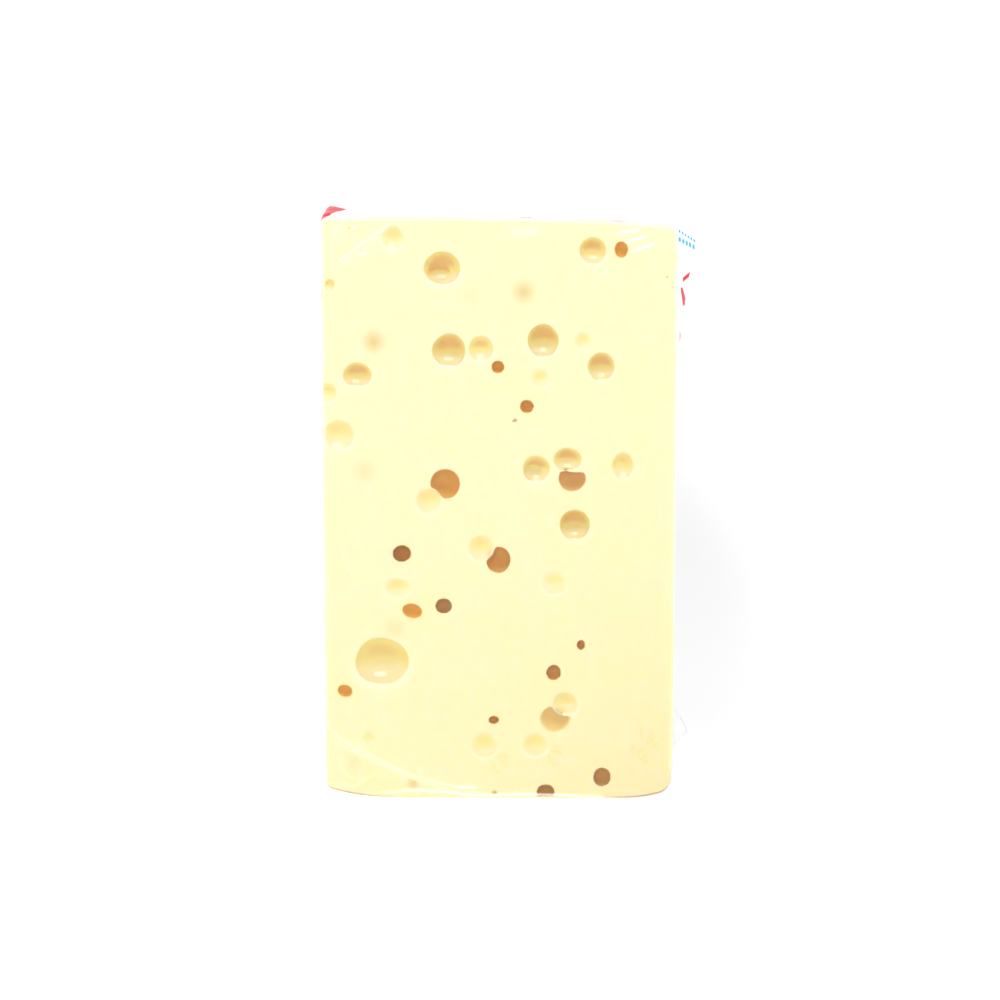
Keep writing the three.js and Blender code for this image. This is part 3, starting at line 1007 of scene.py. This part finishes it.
def make_stage():
    corners = ((-1, -1), (1, -1), (1, 1), (-1, 1))
    points = [(x * FLOOR_HALF, d * FLOOR_HALF, -STAND) for x, d in corners]
    stage = mesh_object("stage", points, [(0, 1, 2, 3)])
    stage.data.materials.append(stage_material())


def area_light(name, position, aim, size, power):
    data = bpy.data.lights.new(name, "AREA")
    data.shape = "RECTANGLE"
    data.size, data.size_y = (side * MM for side in size)
    data.energy = power
    light = bpy.data.objects.new(name, data)
    light.location = to_frame([position])[0]
    light.rotation_mode = "QUATERNION"
    toward = Vector(to_frame([aim])[0]) - light.location
    light.rotation_quaternion = toward.to_track_quat("-Z", "Y")
    bpy.context.scene.collection.objects.link(light)
    return light


def make_lights():
    world = bpy.data.worlds.new("studio")
    world.use_nodes = True
    background = world.node_tree.nodes["Background"]
    background.inputs["Color"].default_value = (1, 1, 1, 1)
    # a white room's low wall all round, and dimmer above it
    nodes, links = world.node_tree.nodes, world.node_tree.links
    direction = nodes.new("ShaderNodeSeparateXYZ")
    links.new(nodes.new("ShaderNodeTexCoord").outputs["Generated"], direction.inputs[0])
    fade = nodes.new("ShaderNodeMapRange")
    fade.interpolation_type = "SMOOTHSTEP"
    links.new(direction.outputs["Z"], fade.inputs["Value"])
    for name, number in (("From Min", 0.12), ("From Max", 0.5), ("To Min", 1.0), ("To Max", 0.3)):
        fade.inputs[name].default_value = number
    links.new(fade.outputs[0], background.inputs["Strength"])
    bpy.context.scene.world = world
    middle = (0, 0, FACE_HEIGHT / 2)
    area_light("key", (30, -480, 820), (0, 0, 150), (620, 300), 4.35)
    front = area_light("front", (-170, -1400, 640), middle, (300, 300), 3.2)
    left = area_light("left", (-900, -300, 420), middle, (700, 500), 1.7)
    right = area_light("right", (900, -200, 300), middle, (700, 500), 0.9)
    back = area_light("back", (-500, 1400, 800), middle, (800, 600), 5)
    top = area_light("top", (0, 150, 1100), (0, 0, FACE_HEIGHT), (500, 500), 3.5)
    # only the key light shows as a highlight
    for light in (front, left, right, back, top):
        light.visible_glossy = False


def make_camera():
    data = bpy.data.cameras.new("camera")
    data.sensor_width = 36
    data.lens = data.sensor_width * CAMERA_AWAY / SEEN_WIDTH
    data.clip_start, data.clip_end = 0.01, 20
    camera = bpy.data.objects.new("camera", data)
    above = math.radians(CAMERA_ABOVE)
    aim = Vector(to_frame([(0.2, 0, AIM_HEIGHT)])[0])
    back = Vector((0, -math.cos(above), math.sin(above)))
    camera.location = aim + back * CAMERA_AWAY * MM
    camera.rotation_mode = "QUATERNION"
    camera.rotation_quaternion = (-back).to_track_quat("-Z", "Y")
    bpy.context.scene.collection.objects.link(camera)
    bpy.context.scene.camera = camera


# ---------------------------------------------------------------- all of it
def add_piece(piece, material, node):
    piece.data.materials.append(material)
    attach(piece, "root")
    if node:
        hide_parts(node)


add_piece(make_cheese(), cheese_material(), "cheese")
add_piece(make_clear_film(), film_material(), "clear_front_film")
add_piece(make_printed_wrap(), wrap_material(), "printed_back_wrap")
add_piece(make_side_fin(), fin_material(), None)
make_stage()
make_lights()
make_camera()
bpy.context.scene.view_settings.view_transform = "Standard"
